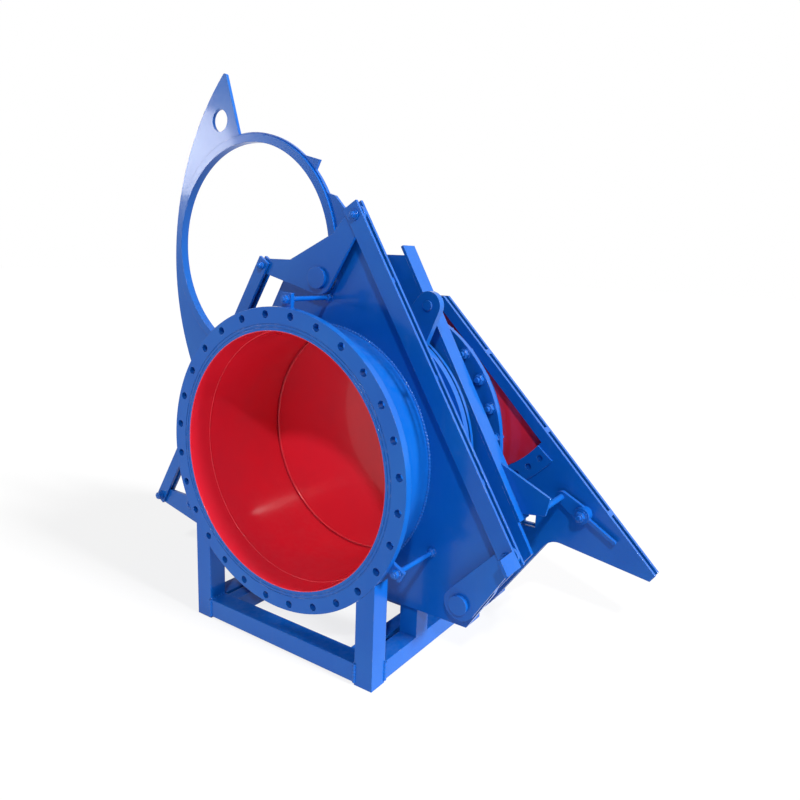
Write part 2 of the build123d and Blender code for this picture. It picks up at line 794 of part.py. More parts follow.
# Link rods: two flats each, held apart by short spacers, one each side of the cranks;
# the right one carries a guard beside its lower pin
for name, start, end, start_pin, width, tail, guarded in (
    ("right_rod", top_right_pin, right_pin, crank_pin_diameter, rod_width, rod_overhang, True),
    ("left_rod", top_left_pin, left_pin, left_pin_diameter, left_rod_width, left_overhang, False),
):
    pin_distance = hypot(end[0] - start[0], end[1] - start[1])
    rod_angle = degrees(atan2(end[1] - start[1], end[0] - start[0]))
    rod_length = pin_distance + 2 * tail
    rod_gap = rod_rear_front - rod_front_back
    with BuildPart() as rod:
        for flat_front in (rod_front_front, rod_rear_front):
            with BuildSketch(face_at(flat_front)) as flat:
                with Locations(between(start, end, rod_middle_share)):
                    Rectangle(rod_length, width, rotation=rod_angle)
                with Locations(start):
                    Circle(start_pin / 2 + running_gap, mode=Mode.SUBTRACT)
                with Locations(end):
                    Circle(crank_pin_diameter / 2 + open_pivot_gap, mode=Mode.SUBTRACT)
            backwards(flat, rod_sheet)
        for share in rod_spacer_shares:
            with BuildSketch(face_at(rod_front_back)) as spacer:
                with Locations(between(start, end, share)):
                    Rectangle(rod_spacer, width - 2 * rod_spacer_inset, rotation=rod_angle)
            backwards(spacer, rod_gap)
        if guarded:
            guard_share = 1 + (tail - rod_guard_length / 2) / pin_distance
            guard_shift = beside(start, end, (width - rod_guard_sheet) / 2)
            with BuildSketch(face_at(rod_front_front - rod_guard_depth)) as guard:
                with Locations(shifted(between(start, end, guard_share), guard_shift)):
                    Rectangle(rod_guard_length, rod_guard_sheet, rotation=rod_angle)
            backwards(guard, rod_guard_depth)
    finish(rod, name)
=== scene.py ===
"""Looks of the blind plate valve: enamel, weld seams, fasteners and a plain studio."""

import json
import math

import bpy
from mathutils import Matrix, Vector


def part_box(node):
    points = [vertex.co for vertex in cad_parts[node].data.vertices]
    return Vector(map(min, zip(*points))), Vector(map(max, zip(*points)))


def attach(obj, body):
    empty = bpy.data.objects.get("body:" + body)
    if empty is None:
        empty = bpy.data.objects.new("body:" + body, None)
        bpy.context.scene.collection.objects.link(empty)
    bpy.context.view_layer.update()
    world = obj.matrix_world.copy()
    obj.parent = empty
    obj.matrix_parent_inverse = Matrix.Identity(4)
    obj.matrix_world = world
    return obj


bl_info = {
    "name": "Blind plate valve looks",
    "version": (1, 0, 0),
    "blender": (4, 5, 0),
    "location": "View3D > Sidebar > Valve",
    "description": "Paint, weld seams and fasteners for a blind plate valve",
    "category": "Object",
}

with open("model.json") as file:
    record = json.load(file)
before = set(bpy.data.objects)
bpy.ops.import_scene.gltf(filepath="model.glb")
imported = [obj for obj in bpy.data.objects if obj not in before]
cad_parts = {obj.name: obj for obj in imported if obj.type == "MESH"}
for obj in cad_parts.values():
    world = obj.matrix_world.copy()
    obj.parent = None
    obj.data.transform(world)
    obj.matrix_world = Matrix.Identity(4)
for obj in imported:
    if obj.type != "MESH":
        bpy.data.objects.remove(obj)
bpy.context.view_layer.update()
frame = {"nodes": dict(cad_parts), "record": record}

BASE = "base"
BLUE_SLOT = "blue_paint"
RED_SLOT = "red_paint"
DISC_NODE = "blind_disc"
RED_NODES = ("window_lining",)
STEEL_NODES = ("crank_bushes",)

# Places and sizes that the pieces below share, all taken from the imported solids
flange_low, flange_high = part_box("front_flange")
pipe_low, pipe_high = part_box("front_pipe")
plate_low, plate_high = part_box("front_plate")
clamp_low, clamp_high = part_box("clamp_plate")
middle_flange_low, middle_flange_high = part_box("middle_flange")
lug_low, lug_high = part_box("flange_lugs")
disc_low, disc_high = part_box(DISC_NODE)
seat_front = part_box("front_seat")[0].y
rear_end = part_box("yoke_rear_plate")[1].y
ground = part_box("front_leg_right")[0].z
pipe_radius = (pipe_high.x - pipe_low.x) / 2
pipe_mesh = frame["nodes"]["front_pipe"].data
bore_radius = min(math.hypot(vertex.co.x, vertex.co.z) for vertex in pipe_mesh.vertices)


class ValvePaintSettings(bpy.types.PropertyGroup):
    """Colours and finish of the paint."""

    blue: bpy.props.FloatVectorProperty(
        name="Blue enamel",
        description="Colour of the outside",
        subtype="COLOR",
        size=3,
        default=(0.002, 0.092, 0.430),
    )
    blue_faded: bpy.props.FloatVectorProperty(
        name="Faded blue",
        description="Colour of weathered patches of the outside",
        subtype="COLOR",
        size=3,
        default=(0.006, 0.114, 0.456),
    )
    red: bpy.props.FloatVectorProperty(
        name="Red enamel",
        description="Colour of the inside",
        subtype="COLOR",
        size=3,
        default=(0.740, 0.017, 0.040),
    )
    red_faded: bpy.props.FloatVectorProperty(
        name="Faded red",
        description="Colour of weathered patches of the inside",
        subtype="COLOR",
        size=3,
        default=(0.660, 0.022, 0.046),
    )
    dust: bpy.props.FloatVectorProperty(
        name="Dust",
        description="Colour of dust on upward faces",
        subtype="COLOR",
        size=3,
        default=(0.420, 0.440, 0.470),
    )
    steel: bpy.props.FloatVectorProperty(
        name="Bare steel",
        description="Colour of zinc plated bushes and worn edges",
        subtype="COLOR",
        size=3,
        default=(0.560, 0.570, 0.580),
    )
    coat_thickness: bpy.props.FloatProperty(
        name="Inside coat",
        description="Thickness of the red coat on the bore",
        unit="LENGTH",
        default=0.0006,
    )
    edge_radius: bpy.props.FloatProperty(
        name="Edge rounding",
        description="Radius to which the paint rounds a sharp edge",
        unit="LENGTH",
        default=0.003,
    )


class ValveSeamSettings(bpy.types.PropertyGroup):
    """Sizes of the weld seams and seal beads."""

    bead_radius: bpy.props.FloatProperty(
        name="Bead radius",
        description="Radius of a weld bead",
        unit="LENGTH",
        default=0.0065,
    )
    ripple_pitch: bpy.props.FloatProperty(
        name="Ripple pitch",
        description="Length of one weld ripple",
        unit="LENGTH",
        default=0.014,
    )
    ripple_depth: bpy.props.FloatProperty(
        name="Ripple depth",
        description="How much a ripple swells the bead, as a share of its radius",
        default=0.22,
    )
    lip_radius: bpy.props.FloatProperty(
        name="Bore bead",
        description="Radius of the beads at the mouth of the bore and on its inner weld",
        unit="LENGTH",
        default=0.0025,
    )
    bore_weld_depth: bpy.props.FloatProperty(
        name="Inner weld",
        description="How far inside the mouth the bore's weld lies",
        unit="LENGTH",
        default=0.105,
    )
    seal_radius: bpy.props.FloatProperty(
        name="Seal radius",
        description="Radius of the seal bead on the blind disc",
        unit="LENGTH",
        default=0.0045,
    )


class ValveFastenerSettings(bpy.types.PropertyGroup):
    """Sizes of nuts and bolts."""

    flange_bolt: bpy.props.FloatProperty(
        name="Flange bolt",
        description="Shank diameter of the bolts of the middle flange",
        unit="LENGTH",
        default=0.024,
    )
    tie_stud: bpy.props.FloatProperty(
        name="Tie stud",
        description="Diameter of the studs behind the front flange",
        unit="LENGTH",
        default=0.018,
    )
    lever_bolt: bpy.props.FloatProperty(
        name="Lever bolt",
        description="Shank diameter of the bolts on the levers",
        unit="LENGTH",
        default=0.024,
    )
    bolt_count: bpy.props.IntProperty(
        name="Flange bolts",
        description="Number of bolts round the middle flange",
        default=frame["record"]["mounts"][0]["dims"]["count"],
    )
    bolt_circle: bpy.props.FloatProperty(
        name="Bolt circle",
        description="Radius of the bolt circle",
        unit="LENGTH",
        default=frame["record"]["mounts"][0]["dims"]["pcd_mm"] / 2000,
    )


class ValveStageSettings(bpy.types.PropertyGroup):
    """Camera and light."""

    camera_place: bpy.props.FloatVectorProperty(
        name="Camera place",
        description="Where the camera stands",
        subtype="XYZ",
        unit="LENGTH",
        size=3,
        default=(1.7917, -1.8349, 0.7830),
    )
    camera_yaw: bpy.props.FloatProperty(
        name="Camera yaw",
        description="Turn to the left from straight along the pipe",
        unit="ROTATION",
        default=math.radians(34.13),
    )
    camera_pitch: bpy.props.FloatProperty(
        name="Camera pitch",
        description="Tilt up from level",
        unit="ROTATION",
        default=math.radians(-11.66),
    )
    camera_roll: bpy.props.FloatProperty(
        name="Camera roll",
        description="Roll about the line of sight",
        unit="ROTATION",
        default=math.radians(-2.14),
    )
    camera_lens: bpy.props.FloatProperty(
        name="Lens",
        description="Focal length in millimetres on a 36 mm sensor",
        default=31.3965,
    )
    key_strength: bpy.props.FloatProperty(
        name="Key light",
        description="Strength of the light from the front, the right and above",
        default=1.4,
    )
    side_strength: bpy.props.FloatProperty(
        name="Side light",
        description="Strength of the soft light from the right",
        default=4.7,
    )
    low_strength: bpy.props.FloatProperty(
        name="Low light",
        description="Strength of the faint low light from the left that shows the gloss",
        default=0.32,
    )
    sky_strength: bpy.props.FloatProperty(
        name="Sky",
        description="Strength of the soft light all round",
        default=0.24,
    )


def settings():
    """The scene, which holds the groups of settings."""
    return bpy.context.scene


def add_node(tree, kind, place, values=None, **options):
    """New node in a tree, with its options and input values set."""
    node = tree.nodes.new(kind)
    node.location = place
    for name, value in options.items():
        setattr(node, name, value)
    for name, value in (values or {}).items():
        node.inputs[name].default_value = value
    return node


def join(tree, source, target):
    """Link two sockets."""
    tree.links.new(source, target)


def rgba(colour):
    """Colour with full alpha."""
    return (*colour, 1.0)


def seen_rays(tree):
    """One for rays that show a surface as it is seen, by eye or in a reflection."""
    ray = add_node(tree, "ShaderNodeLightPath", (-700, 500))
    mirrored = add_node(tree, "ShaderNodeMath", (-450, 500), operation="ADD", use_clamp=True)
    join(tree, ray.outputs["Is Camera Ray"], mirrored.inputs[0])
    join(tree, ray.outputs["Is Glossy Ray"], mirrored.inputs[1])
    passed = add_node(tree, "ShaderNodeMath", (-250, 500), operation="ADD", use_clamp=True)
    join(tree, mirrored.outputs["Value"], passed.inputs[0])
    join(tree, ray.outputs["Is Transmission Ray"], passed.inputs[1])
    return passed.outputs["Value"]


def weather_group():
    """Shared effect: faded patches, streaks, dust and the paint's fine texture."""
    dust_roughness = 0.55
    wave_height = 4.0
    name = "paint_weather"
    if name in bpy.data.node_groups:
        return bpy.data.node_groups[name]
    tree = bpy.data.node_groups.new(name, "ShaderNodeTree")
    for label, kind, default in (
        ("Paint", "NodeSocketColor", (0.0, 0.0, 0.0, 1.0)),
        ("Faded", "NodeSocketColor", (0.0, 0.0, 0.0, 1.0)),
        ("Dust", "NodeSocketColor", (0.0, 0.0, 0.0, 1.0)),
        ("Dust Amount", "NodeSocketFloat", 0.3),
        ("Gloss", "NodeSocketFloat", 0.2),
    ):
        socket = tree.interface.new_socket(name=label, in_out="INPUT", socket_type=kind)
        socket.default_value = default
    for label, kind in (
        ("Color", "NodeSocketColor"),
        ("Roughness", "NodeSocketFloat"),
        ("Height", "NodeSocketFloat"),
    ):
        tree.interface.new_socket(name=label, in_out="OUTPUT", socket_type=kind)
    start = add_node(tree, "NodeGroupInput", (-1200, 0))
    end = add_node(tree, "NodeGroupOutput", (900, 0))
    place = add_node(tree, "ShaderNodeTexCoord", (-1200, -300))
    patches = add_node(tree, "ShaderNodeTexNoise", (-900, 300),
                       {"Scale": 2.6, "Detail": 5.0, "Roughness": 0.6})
    join(tree, place.outputs["Object"], patches.inputs["Vector"])
    patch_mask = add_node(tree, "ShaderNodeMapRange", (-650, 300),
                          {"From Min": 0.42, "From Max": 0.72})
    join(tree, patches.outputs["Fac"], patch_mask.inputs["Value"])
    faded = add_node(tree, "ShaderNodeMix", (-400, 250), data_type="RGBA")
    join(tree, patch_mask.outputs["Result"], faded.inputs["Factor"])
    join(tree, start.outputs["Paint"], faded.inputs["A"])
    join(tree, start.outputs["Faded"], faded.inputs["B"])
    stretch = add_node(tree, "ShaderNodeMapping", (-900, 0), {"Scale": (9.0, 9.0, 0.9)})
    join(tree, place.outputs["Object"], stretch.inputs["Vector"])
    streaks = add_node(tree, "ShaderNodeTexNoise", (-700, 0),
                       {"Scale": 1.6, "Detail": 6.0, "Roughness": 0.65})
    join(tree, stretch.outputs["Vector"], streaks.inputs["Vector"])
    streak_mask = add_node(tree, "ShaderNodeMapRange", (-450, 0),
                           {"From Min": 0.55, "From Max": 0.80, "To Max": 0.30})
    join(tree, streaks.outputs["Fac"], streak_mask.inputs["Value"])
    shape = add_node(tree, "ShaderNodeNewGeometry", (-900, -500))
    upward = add_node(tree, "ShaderNodeSeparateXYZ", (-700, -500))
    join(tree, shape.outputs["Normal"], upward.inputs["Vector"])
    top_mask = add_node(tree, "ShaderNodeMapRange", (-500, -500),
                        {"From Min": 0.35, "From Max": 1.0})
    join(tree, upward.outputs["Z"], top_mask.inputs["Value"])
    specks = add_node(tree, "ShaderNodeTexNoise", (-900, -800),
                      {"Scale": 34.0, "Detail": 8.0, "Roughness": 0.7})
    join(tree, place.outputs["Object"], specks.inputs["Vector"])
    speck_mask = add_node(tree, "ShaderNodeMapRange", (-650, -800),
                          {"From Min": 0.40, "From Max": 0.75})
    join(tree, specks.outputs["Fac"], speck_mask.inputs["Value"])
    settled = add_node(tree, "ShaderNodeMath", (-300, -600), operation="MULTIPLY")
    join(tree, top_mask.outputs["Result"], settled.inputs[0])
    join(tree, speck_mask.outputs["Result"], settled.inputs[1])
    film = add_node(tree, "ShaderNodeMath", (-100, -300), operation="ADD", use_clamp=True)
    join(tree, settled.outputs["Value"], film.inputs[0])
    join(tree, streak_mask.outputs["Result"], film.inputs[1])
    amount = add_node(tree, "ShaderNodeMath", (100, -300), operation="MULTIPLY", use_clamp=True)
    join(tree, film.outputs["Value"], amount.inputs[0])
    join(tree, start.outputs["Dust Amount"], amount.inputs[1])
    dusty = add_node(tree, "ShaderNodeMix", (350, 200), data_type="RGBA")
    join(tree, amount.outputs["Value"], dusty.inputs["Factor"])
    join(tree, faded.outputs["Result"], dusty.inputs["A"])
    join(tree, start.outputs["Dust"], dusty.inputs["B"])
    join(tree, dusty.outputs["Result"], end.inputs["Color"])
    rough = add_node(tree, "ShaderNodeMath", (350, -100), operation="MULTIPLY_ADD")
    rough.inputs[1].default_value = dust_roughness
    join(tree, amount.outputs["Value"], rough.inputs[0])
    join(tree, start.outputs["Gloss"], rough.inputs[2])
    join(tree, rough.outputs["Value"], end.inputs["Roughness"])
    peel = add_node(tree, "ShaderNodeTexNoise", (-300, -900),
                    {"Scale": 95.0, "Detail": 2.0, "Roughness": 0.4})
    join(tree, place.outputs["Object"], peel.inputs["Vector"])
    waves = add_node(tree, "ShaderNodeTexNoise", (-300, -1150),
                     {"Scale": 7.0, "Detail": 1.0, "Roughness": 0.3})
    join(tree, place.outputs["Object"], waves.inputs["Vector"])
    swell = add_node(tree, "ShaderNodeMath", (0, -1000), operation="MULTIPLY_ADD")
    swell.inputs[1].default_value = wave_height
    join(tree, waves.outputs["Fac"], swell.inputs[0])
    join(tree, peel.outputs["Fac"], swell.inputs[2])
    join(tree, swell.outputs["Value"], end.inputs["Height"])
    return tree


def edge_group():
    """Shared effect: a mask of worn edges, and the normal that rounds them."""
    name = "worn_edges"
    if name in bpy.data.node_groups:
        return bpy.data.node_groups[name]
    tree = bpy.data.node_groups.new(name, "ShaderNodeTree")
    tree.interface.new_socket(name="Radius", in_out="INPUT", socket_type="NodeSocketFloat")
    tree.interface.new_socket(name="Mask", in_out="OUTPUT", socket_type="NodeSocketFloat")
    tree.interface.new_socket(name="Normal", in_out="OUTPUT", socket_type="NodeSocketVector")
    start = add_node(tree, "NodeGroupInput", (-700, 0))
    end = add_node(tree, "NodeGroupOutput", (700, 0))
    rounded = add_node(tree, "ShaderNodeBevel", (-450, 100), samples=6)
    join(tree, start.outputs["Radius"], rounded.inputs["Radius"])
    shape = add_node(tree, "ShaderNodeNewGeometry", (-450, -150))
    along = add_node(tree, "ShaderNodeVectorMath", (-200, 0), operation="DOT_PRODUCT")
    join(tree, rounded.outputs["Normal"], along.inputs[0])
    join(tree, shape.outputs["Normal"], along.inputs[1])
    turned = add_node(tree, "ShaderNodeMapRange", (0, 0), {"From Min": 0.985, "From Max": 0.80})
    join(tree, along.outputs["Value"], turned.inputs["Value"])
    place = add_node(tree, "ShaderNodeTexCoord", (-450, -400))
    chips = add_node(tree, "ShaderNodeTexNoise", (-200, -400),
                     {"Scale": 26.0, "Detail": 6.0, "Roughness": 0.7})
    join(tree, place.outputs["Object"], chips.inputs["Vector"])
    chip_mask = add_node(tree, "ShaderNodeMapRange", (0, -400),
                         {"From Min": 0.50, "From Max": 0.66})
    join(tree, chips.outputs["Fac"], chip_mask.inputs["Value"])
    mask = add_node(tree, "ShaderNodeMath", (300, 0), operation="MULTIPLY", use_clamp=True)
    join(tree, turned.outputs["Result"], mask.inputs[0])
    join(tree, chip_mask.outputs["Result"], mask.inputs[1])
    join(tree, mask.outputs["Value"], end.inputs["Mask"])
    join(tree, rounded.outputs["Normal"], end.inputs["Normal"])
    return tree


def blank_material(name, colour):
    """New material with an empty node tree."""
    material = bpy.data.materials.new(name)
    material.use_nodes = True
    material.diffuse_color = rgba(colour)
    material.node_tree.nodes.clear()
    return material


def enamel(name, colour, faded, dust_amount, gloss, chipped, coat):
    """Glossy machine enamel with dust, faded patches and chipped edges."""
    if name in bpy.data.materials:
        return bpy.data.materials[name]
    paint = settings().valve_paint
    material = blank_material(name, colour)
    tree = material.node_tree
    output = add_node(tree, "ShaderNodeOutputMaterial", (900, 0))
    shader = add_node(tree, "ShaderNodeBsdfPrincipled", (600, 0),
                      {"Coat Weight": coat, "Coat Roughness": 0.05, "IOR": 1.28})
    weather = add_node(tree, "ShaderNodeGroup", (-300, 100), {
        "Paint": rgba(colour),
        "Faded": rgba(faded),
        "Dust": rgba(paint.dust),
        "Dust Amount": dust_amount,
        "Gloss": gloss,
    }, node_tree=weather_group())
    edges = add_node(tree, "ShaderNodeGroup", (-300, -250), {"Radius": paint.edge_radius},
                     node_tree=edge_group())
    wear = add_node(tree, "ShaderNodeMath", (-50, -100), operation="MULTIPLY", use_clamp=True)
    wear.inputs[1].default_value = chipped
    join(tree, edges.outputs["Mask"], wear.inputs[0])
    chip = add_node(tree, "ShaderNodeMix", (200, 150), data_type="RGBA")
    chip.inputs["B"].default_value = rgba(paint.steel)
    join(tree, wear.outputs["Value"], chip.inputs["Factor"])
    join(tree, weather.outputs["Color"], chip.inputs["A"])
    join(tree, chip.outputs["Result"], shader.inputs["Base Color"])
    join(tree, weather.outputs["Roughness"], shader.inputs["Roughness"])
    bump = add_node(tree, "ShaderNodeBump", (250, -250), {"Strength": 0.05, "Distance": 0.002})
    join(tree, weather.outputs["Height"], bump.inputs["Height"])
    join(tree, edges.outputs["Normal"], bump.inputs["Normal"])
    join(tree, bump.outputs["Normal"], shader.inputs["Normal"])
    join(tree, shader.outputs["BSDF"], output.inputs["Surface"])
    return material


def blue_enamel():
    """Enamel of the outside."""
    paint = settings().valve_paint
    return enamel("blue_enamel", paint.blue, paint.blue_faded,
                  dust_amount=0.06, gloss=0.22, chipped=0.30, coat=0.14)


def red_enamel():
    """Enamel of the inside."""
    paint = settings().valve_paint
    return enamel("red_enamel", paint.red, paint.red_faded,
                  dust_amount=0.03, gloss=0.20, chipped=0.10, coat=0.60)


def disc_enamel():
    """Enamel of the blind disc, with less gloss than the bore's."""
    paint = settings().valve_paint
    return enamel("disc_enamel", paint.red, paint.red_faded,
                  dust_amount=0.03, gloss=0.24, chipped=0.10, coat=0.30)


def plated_steel():
    """Zinc plated steel of the bushes."""
    tarnish = 0.6
    name = "plated_steel"
    if name in bpy.data.materials:
        return bpy.data.materials[name]
    paint = settings().valve_paint
    material = blank_material(name, paint.steel)
    tree = material.node_tree
    output = add_node(tree, "ShaderNodeOutputMaterial", (700, 0))
    shader = add_node(tree, "ShaderNodeBsdfPrincipled", (400, 0), {"Metallic": 1.0})
    weather = add_node(tree, "ShaderNodeGroup", (-300, 0), {
        "Paint": rgba(paint.steel),
        "Faded": rgba([tarnish * part for part in paint.steel]),
        "Dust": rgba(paint.dust),
        "Dust Amount": 0.5,
        "Gloss": 0.30,
    }, node_tree=weather_group())
    join(tree, weather.outputs["Color"], shader.inputs["Base Color"])
    join(tree, weather.outputs["Roughness"], shader.inputs["Roughness"])
    bump = add_node(tree, "ShaderNodeBump", (100, -250), {"Strength": 0.10, "Distance": 0.001})
    join(tree, weather.outputs["Height"], bump.inputs["Height"])
    join(tree, bump.outputs["Normal"], shader.inputs["Normal"])
    join(tree, shader.outputs["BSDF"], output.inputs["Surface"])
    return material


def new_tree(name, inputs):
    """Geometry node tree with a geometry in and out and named inputs."""
    tree = bpy.data.node_groups.new(name, "GeometryNodeTree")
    tree.interface.new_socket(name="Geometry", in_out="INPUT", socket_type="NodeSocketGeometry")
    for label, kind, default in inputs:
        socket = tree.interface.new_socket(name=label, in_out="INPUT", socket_type=kind)
        if default is not None:
            socket.default_value = default
    tree.interface.new_socket(name="Geometry", in_out="OUTPUT", socket_type="NodeSocketGeometry")
    return tree


def bead_tree():
    """Bead that follows the edges of a path, with ripples along it."""
    steps_per_ripple = 4.0
    name = "seam_bead"
    if name in bpy.data.node_groups:
        return bpy.data.node_groups[name]
    tree = new_tree(name, (
        ("Bead Radius", "NodeSocketFloat", 0.006),
        ("Ripple Pitch", "NodeSocketFloat", 0.014),
        ("Ripple Depth", "NodeSocketFloat", 0.2),
        ("Material", "NodeSocketMaterial", None),
    ))
    start = add_node(tree, "NodeGroupInput", (-900, 0))
    end = add_node(tree, "NodeGroupOutput", (1100, 0))
    path = add_node(tree, "GeometryNodeMeshToCurve", (-650, 100))
    join(tree, start.outputs["Geometry"], path.inputs["Mesh"])
    step = add_node(tree, "ShaderNodeMath", (-650, -100), operation="DIVIDE")
    step.inputs[1].default_value = steps_per_ripple
    join(tree, start.outputs["Ripple Pitch"], step.inputs[0])
    even = add_node(tree, "GeometryNodeResampleCurve", (-400, 100), mode="LENGTH")
    join(tree, path.outputs["Curve"], even.inputs["Curve"])
    join(tree, step.outputs["Value"], even.inputs["Length"])
    along = add_node(tree, "GeometryNodeSplineParameter", (-650, -300))
    turns = add_node(tree, "ShaderNodeMath", (-400, -300), operation="DIVIDE")
    join(tree, along.outputs["Length"], turns.inputs[0])
    join(tree, start.outputs["Ripple Pitch"], turns.inputs[1])
    angle = add_node(tree, "ShaderNodeMath", (-200, -300), operation="MULTIPLY")
    angle.inputs[1].default_value = math.tau
    join(tree, turns.outputs["Value"], angle.inputs[0])
    wave = add_node(tree, "ShaderNodeMath", (0, -300), operation="SINE")
    join(tree, angle.outputs["Value"], wave.inputs[0])
    swell = add_node(tree, "ShaderNodeMath", (200, -300), operation="MULTIPLY_ADD")
    swell.inputs[2].default_value = 1.0
    join(tree, wave.outputs["Value"], swell.inputs[0])
    join(tree, start.outputs["Ripple Depth"], swell.inputs[1])
    profile = add_node(tree, "GeometryNodeCurvePrimitiveCircle", (200, -100), {"Resolution": 8})
    join(tree, start.outputs["Bead Radius"], profile.inputs["Radius"])
    bead = add_node(tree, "GeometryNodeCurveToMesh", (400, 100), {"Fill Caps": True})
    join(tree, even.outputs["Curve"], bead.inputs["Curve"])
    join(tree, profile.outputs["Curve"], bead.inputs["Profile Curve"])
    join(tree, swell.outputs["Value"], bead.inputs["Scale"])
    real = add_node(tree, "GeometryNodeRealizeInstances", (600, 100))
    join(tree, bead.outputs["Mesh"], real.inputs["Geometry"])
    smooth = add_node(tree, "GeometryNodeSetShadeSmooth", (750, 100))
    join(tree, real.outputs["Geometry"], smooth.inputs["Geometry"])
    paint = add_node(tree, "GeometryNodeSetMaterial", (900, 100))
    join(tree, smooth.outputs["Geometry"], paint.inputs["Geometry"])
    join(tree, start.outputs["Material"], paint.inputs["Material"])
    join(tree, paint.outputs["Geometry"], end.inputs["Geometry"])
    return tree


def fastener_tree():
    """Washer, chamfered hex and stud end on each point, turned along the pipe."""
    name = "fasteners"
    if name in bpy.data.node_groups:
        return bpy.data.node_groups[name]
    tree = new_tree(name, (
        ("Shank", "NodeSocketFloat", 0.024),
        ("Stud Length", "NodeSocketFloat", 0.01),
        ("Turn", "NodeSocketFloat", math.pi / 2),
        ("Material", "NodeSocketMaterial", None),
    ))
    start = add_node(tree, "NodeGroupInput", (-1500, 0))
    end = add_node(tree, "NodeGroupOutput", (1100, 0))

    def share(value, place):
        """A size as a share of the shank's diameter."""
        node = add_node(tree, "ShaderNodeMath", place, operation="MULTIPLY")
        node.inputs[1].default_value = value
        join(tree, start.outputs["Shank"], node.inputs[0])
        return node.outputs["Value"]

    washer_radius = share(1.08, (-1250, 600))
    washer_height = share(0.15, (-1250, 450))
    hex_radius = share(0.92, (-1250, 300))
    hex_height = share(0.72, (-1250, 150))
    chamfer_radius = share(0.80, (-1250, 0))
    chamfer_end = share(0.68, (-1250, -150))
    chamfer_height = share(0.10, (-1250, -300))
    stud_radius = share(0.50, (-1250, -450))
    stud_end = share(0.44, (-1250, -600))
    # From the bottom up: sides, radius at the bottom and at the top, height
    stack = (
        (24, washer_radius, washer_radius, washer_height),
        (6, hex_radius, hex_radius, hex_height),
        (24, chamfer_radius, chamfer_end, chamfer_height),
        (16, stud_radius, stud_end, start.outputs["Stud Length"]),
    )
    whole = add_node(tree, "GeometryNodeJoinGeometry", (0, 100))
    level = None
    for index, (sides, bottom, top, height) in enumerate(stack):
        row = 400 - 300 * index
        solid = add_node(tree, "GeometryNodeMeshCone", (-800, row), {"Vertices": sides})
        join(tree, bottom, solid.inputs["Radius Bottom"])
        join(tree, top, solid.inputs["Radius Top"])
        join(tree, height, solid.inputs["Depth"])
        lift = add_node(tree, "GeometryNodeTransform", (-300, row))
        join(tree, solid.outputs["Mesh"], lift.inputs["Geometry"])
        join(tree, lift.outputs["Geometry"], whole.inputs["Geometry"])
        if level is None:
            level = height
            continue
        up = add_node(tree, "ShaderNodeCombineXYZ", (-500, row - 100))
        join(tree, level, up.inputs["Z"])
        join(tree, up.outputs["Vector"], lift.inputs["Translation"])
        total = add_node(tree, "ShaderNodeMath", (-650, row - 200), operation="ADD")
        join(tree, level, total.inputs[0])
        join(tree, height, total.inputs[1])
        level = total.outputs["Value"]
    tilt = add_node(tree, "ShaderNodeCombineXYZ", (0, -200))
    join(tree, start.outputs["Turn"], tilt.inputs["X"])
    turned = add_node(tree, "FunctionNodeEulerToRotation", (200, -200))
    join(tree, tilt.outputs["Vector"], turned.inputs["Euler"])
    placed = add_node(tree, "GeometryNodeInstanceOnPoints", (400, 100))
    join(tree, start.outputs["Geometry"], placed.inputs["Points"])
    join(tree, whole.outputs["Geometry"], placed.inputs["Instance"])
    join(tree, turned.outputs["Rotation"], placed.inputs["Rotation"])
    real = add_node(tree, "GeometryNodeRealizeInstances", (650, 100))
    join(tree, placed.outputs["Instances"], real.inputs["Geometry"])
    paint = add_node(tree, "GeometryNodeSetMaterial", (850, 100))
    join(tree, real.outputs["Geometry"], paint.inputs["Geometry"])
    join(tree, start.outputs["Material"], paint.inputs["Material"])
    join(tree, paint.outputs["Geometry"], end.inputs["Geometry"])
    return tree


def piece_from_mesh(name, points, edges=(), faces=()):
    """New object with a mesh of these points."""
    mesh = bpy.data.meshes.new(name)
    mesh.from_pydata([tuple(p) for p in points], list(edges), list(faces))
    mesh.update()
    piece = bpy.data.objects.new(name, mesh)
    bpy.context.scene.collection.objects.link(piece)
    return piece


def grown(piece, tree, values):
    """Run a geometry node tree on a piece and keep the result as its plain mesh."""
    modifier = piece.modifiers.new(tree.name, "NODES")
    modifier.node_group = tree
    for socket in tree.interface.items_tree:
        if socket.in_out == "INPUT" and socket.name in values:
            modifier[socket.identifier] = values[socket.name]
    bpy.context.view_layer.update()
    graph = bpy.context.evaluated_depsgraph_get()
    mesh = bpy.data.meshes.new_from_object(piece.evaluated_get(graph), depsgraph=graph)
    mesh.name = piece.name
    piece.modifiers.clear()
    piece.data = mesh
    if not mesh.polygons:
        raise RuntimeError(f"{piece.name} has no faces")
    return piece


def mounted(piece, body):
    """Put a finished piece on its body."""
    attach(piece, body)
    return piece


def circle_path(centre, radius, count=160):
    """Points and edges of a round path across the pipe."""
    points = []
    for index in range(count):
        turn = math.tau * index / count
        points.append(centre + Vector((radius * math.cos(turn), 0, radius * math.sin(turn))))
    edges = [(index, (index + 1) % count) for index in range(count)]
    return points, edges


def gathered(paths):
    """Several paths as one list of points and edges."""
    points = []
    edges = []
    for path_points, path_edges in paths:
        first = len(points)
        points += path_points
        edges += [(a + first, b + first) for a, b in path_edges]
    return points, edges


def straight(start, end):
    """Points and edges of one straight seam."""
    return [Vector(start), Vector(end)], [(0, 1)]


def bead(name, paths, radius, ripple, material, body, slot):
    """Bead along several paths."""
    piece = piece_from_mesh(name, *gathered(paths))
    grown(piece, bead_tree(), {
        "Bead Radius": radius,
        "Ripple Pitch": settings().valve_seams.ripple_pitch,
        "Ripple Depth": ripple,
        "Material": material,
    })
    return mounted(piece, body)


def weld(name, paths):
    """Painted weld seam along several paths on the base."""
    seam = settings().valve_seams
    return bead(name, paths, seam.bead_radius, seam.ripple_depth,
                blue_enamel(), BASE, BLUE_SLOT)


